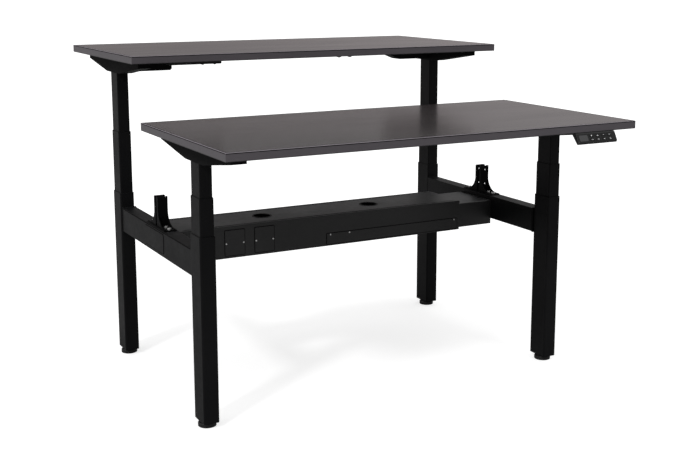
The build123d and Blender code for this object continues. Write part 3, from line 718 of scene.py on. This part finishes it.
def joint_and_shade_lines():
    """The thin dark joint between each panel and its band on the surface, and painted shade along all four
    edges under the upper arris.
    """
    inside = (PANEL[0] - 2 * LINE_WIDE, PANEL[1] - 2 * LINE_WIDE)
    long = 2 * TOP_HALF[0] - SHADE_STRIPE_SHORT
    wide = 2 * TOP_HALF[1] - SHADE_STRIPE_SHORT
    for side, sy in FACING.items():
        shape = bmesh.new()
        frame_of(shape, moved(0, sy * COLUMN_Y, SURFACE[side] - LINE_SUNK), inside, 0.6, LINE_WIDE, LINE_HIGH)
        # Painted shade: dark strips on the band's faces just under the upper arris.
        z = SURFACE[side] - SHADE_STRIPE_DEPTH
        for end in SIGNS:
            block(shape, (0, sy * COLUMN_Y + end * TOP_HALF[1], z), (long, *SHADE_STRIPE))
            block(shape, (end * TOP_HALF[0], sy * COLUMN_Y, z), (SHADE_STRIPE[0], wide, SHADE_STRIPE[1]))
        settle(shape, f"joint_and_shade_line_{side}", f"{side}_desk", "grommet_rubber", SHADOW)


FLAP = (69, 84)
FLAPS_AT = ((-416.5, 482), (-310.5, 482))
STRIP = (531, 37)
STRIP_AT = (186.5, 455.5)
COVER = (176, 62)
COVER_Z = 500
BEAM_SHADE_LINE = (0.7, 660, 2.2)
BEAM_SHADE_LINE_SUNK = 0.1
BEAM_SHADE_LINE_Z = 537.6


def painted_shade_gaps():
    """Near-black strips of painted shade in the gaps round the tray's flaps and strip and the beams' covers,
    and along the top of each beam's outer face.
    """
    front_face = Matrix(((1, 0, 0), (0, 0, -1), (0, 1, 0))).to_4x4()
    shape = bmesh.new()
    for (x, z), size in ((FLAPS_AT[0], FLAP), (FLAPS_AT[1], FLAP), (STRIP_AT, STRIP)):
        frame_of(shape, moved(x, TRAY_FACE, z) @ front_face, size, 2.0, 1.7, 0.9)
    settle(shape, "tray_painted_shade_gaps", "base_frame", "grommet_rubber", SHADOW)
    shape = bmesh.new()
    for sx in SIGNS:
        side_face = Matrix(((0, 0, sx), (sx, 0, 0), (0, 1, 0))).to_4x4()
        frame_of(shape, moved(sx * BEAM_FACE, 0, COVER_Z) @ side_face, COVER, 5.0, 1.8, 0.6)
        # Painted shade along the top of each beam's outer face.
        block(shape, (sx * (BEAM_FACE - BEAM_SHADE_LINE_SUNK), 0, BEAM_SHADE_LINE_Z), BEAM_SHADE_LINE)
    settle(shape, "beam_painted_shade_gaps", "base_frame", "grommet_rubber", SHADOW)


glide_rings()
lock_nuts()
key_marks()
window_details()
cable_clips()
socket_contacts()
box_vents()
lid_ribs()
beam_seams()
panel_screws()
joint_and_shade_lines()
painted_shade_gaps()


# ---------------------------------------------------------------- the stage
FLOOR_GLOW = 0.7  # lifts the floor to a pale studio white without lighting the desk
FLOOR_BOUNCE = 0.37  # how much the floor throws back on the desk
FLOOR_REACH = 60.0  # metres each way


def stage_floor():
    """A wide floor that is near white to the camera and a dimmer grey to every other ray."""
    mesh = bpy.data.meshes.new("studio_floor")
    corners = [(sx * FLOOR_REACH, sy * FLOOR_REACH, 0) for sx, sy in ((-1, -1), (1, -1), (1, 1), (-1, 1))]
    mesh.from_pydata(corners, [], [(0, 1, 2, 3)])
    floor = bpy.data.objects.new("studio_floor", mesh)
    bpy.context.scene.collection.objects.link(floor)
    tree = Tree("pale_floor")
    tone = tree.remap(tree.noise(3.0, 3.0), 0.3, 0.7, 0.0, 1.0)
    pale = tree.mix(tone, rgb(0.46, 0.46, 0.46), rgb(0.48, 0.48, 0.48))
    tree.finish(pale, 0.9, specular=0.0)
    tree.shader.inputs["Emission Color"].default_value = rgb(1.0, 1.0, 1.0)
    tree.shader.inputs["Emission Strength"].default_value = FLOOR_GLOW
    dim = tree.add("ShaderNodeBsdfDiffuse")
    dim.inputs["Color"].default_value = rgb(FLOOR_BOUNCE, FLOOR_BOUNCE, FLOOR_BOUNCE)
    choose = tree.add("ShaderNodeMixShader")
    path = tree.add("ShaderNodeLightPath")
    tree.links.new(path.outputs["Is Camera Ray"], choose.inputs["Fac"])
    tree.links.new(dim.outputs["BSDF"], choose.inputs[1])
    tree.links.new(tree.shader.outputs["BSDF"], choose.inputs[2])
    output = next(n for n in tree.nodes if n.bl_idname == "ShaderNodeOutputMaterial")
    tree.links.new(choose.outputs["Shader"], output.inputs["Surface"])
    mesh.materials.append(tree.material)


def sky():
    """White to the camera. To every other ray it is strong above and at the left, weak in front."""
    world = bpy.data.worlds.new("studio")
    bpy.context.scene.world = world
    world.use_nodes = True
    tree = world.node_tree
    tree.nodes.clear()
    coord = tree.nodes.new("ShaderNodeTexCoord")
    split = tree.nodes.new("ShaderNodeSeparateXYZ")
    tree.links.new(coord.outputs["Generated"], split.inputs["Vector"])

    def ramp(socket, low, high, to_low, to_high):
        node = tree.nodes.new("ShaderNodeMapRange")
        node.interpolation_type = "SMOOTHSTEP"
        tree.links.new(socket, node.inputs["Value"])
        for key, number in (
            ("From Min", low), ("From Max", high), ("To Min", to_low), ("To Max", to_high)
        ):
            node.inputs[key].default_value = number
        return node.outputs["Result"]

    def combine(operation, first, second):
        node = tree.nodes.new("ShaderNodeMath")
        node.operation = operation
        tree.links.new(first, node.inputs[0])
        tree.links.new(second, node.inputs[1])
        return node.outputs["Value"]

    above = ramp(split.outputs["Z"], 0.12, 0.9, 0.0, 1.2)
    left = ramp(split.outputs["X"], -0.2, -0.9, 0.0, 0.55)
    right = ramp(split.outputs["X"], 0.3, 0.75, 0.0, 0.3)
    ahead = ramp(split.outputs["Y"], -0.3, 0.6, 0.04, 0.12)
    low = ramp(split.outputs["Z"], 0.24, 0.07, 0.0, 1.0)
    horizon = combine("MULTIPLY", low, ramp(split.outputs["Y"], 0.5, 0.9, 0.0, 0.3))
    strength = combine("ADD", combine("ADD", above, left), combine("ADD", right, ahead))
    strength = combine("ADD", strength, horizon)
    tint = tree.nodes.new("ShaderNodeMix")
    tint.data_type = "RGBA"
    tree.links.new(low, tint.inputs["Factor"])
    tint.inputs["A"].default_value = rgb(0.79, 0.79, 0.79)
    tint.inputs["B"].default_value = rgb(0.79, 0.71, 0.72)
    light = tree.nodes.new("ShaderNodeBackground")
    tree.links.new(tint.outputs["Result"], light.inputs["Color"])
    tree.links.new(strength, light.inputs["Strength"])
    backdrop = tree.nodes.new("ShaderNodeBackground")
    backdrop.inputs["Color"].default_value = rgb(1.0, 1.0, 1.0)
    path = tree.nodes.new("ShaderNodeLightPath")
    choose = tree.nodes.new("ShaderNodeMixShader")
    tree.links.new(path.outputs["Is Camera Ray"], choose.inputs["Fac"])
    tree.links.new(light.outputs["Background"], choose.inputs[1])
    tree.links.new(backdrop.outputs["Background"], choose.inputs[2])
    output = tree.nodes.new("ShaderNodeOutputWorld")
    tree.links.new(choose.outputs["Shader"], output.inputs["Surface"])


def lamp(name, azimuth, elevation, strength, spread):
    """A far lamp that shines from an azimuth (0 is in front, 90 at the right) and a height angle."""
    light = bpy.data.lights.new(name, "SUN")
    light.energy = strength
    light.angle = math.radians(spread)
    holder = bpy.data.objects.new(name, light)
    bpy.context.scene.collection.objects.link(holder)
    turn, rise = math.radians(azimuth), math.radians(elevation)
    towards = Vector((math.sin(turn) * math.cos(rise), -math.cos(turn) * math.cos(rise), math.sin(rise)))
    holder.rotation_mode = "QUATERNION"
    holder.rotation_quaternion = towards.to_track_quat("Z", "Y")


CAMERA_PLACE = (-1.7798, -3.4015, 1.3367)
CAMERA_YAW = 28.48  # degrees to the right of +Y
CAMERA_PITCH = -10.20
SENSOR = 36.0
LENS = 57.44
LENS_SHIFT = -0.08


def camera():
    """The photo's viewpoint."""
    data = bpy.data.cameras.new("camera")
    data.sensor_width = SENSOR
    data.lens = LENS
    data.shift_y = LENS_SHIFT
    data.clip_end = 200.0
    holder = bpy.data.objects.new("camera", data)
    bpy.context.scene.collection.objects.link(holder)
    holder.location = CAMERA_PLACE
    yaw, pitch = math.radians(CAMERA_YAW), math.radians(CAMERA_PITCH)
    look = Vector((math.sin(yaw) * math.cos(pitch), math.cos(yaw) * math.cos(pitch), math.sin(pitch)))
    holder.rotation_mode = "QUATERNION"
    holder.rotation_quaternion = look.to_track_quat("-Z", "Y")
    bpy.context.scene.camera = holder


camera()
stage_floor()
sky()
lamp("key_light", azimuth=-57, elevation=40, strength=1.2, spread=7)
lamp("second_light", azimuth=8, elevation=52, strength=0.55, spread=12)
bpy.context.scene.view_settings.view_transform = "Standard"
bpy.context.scene.view_settings.look = "None"
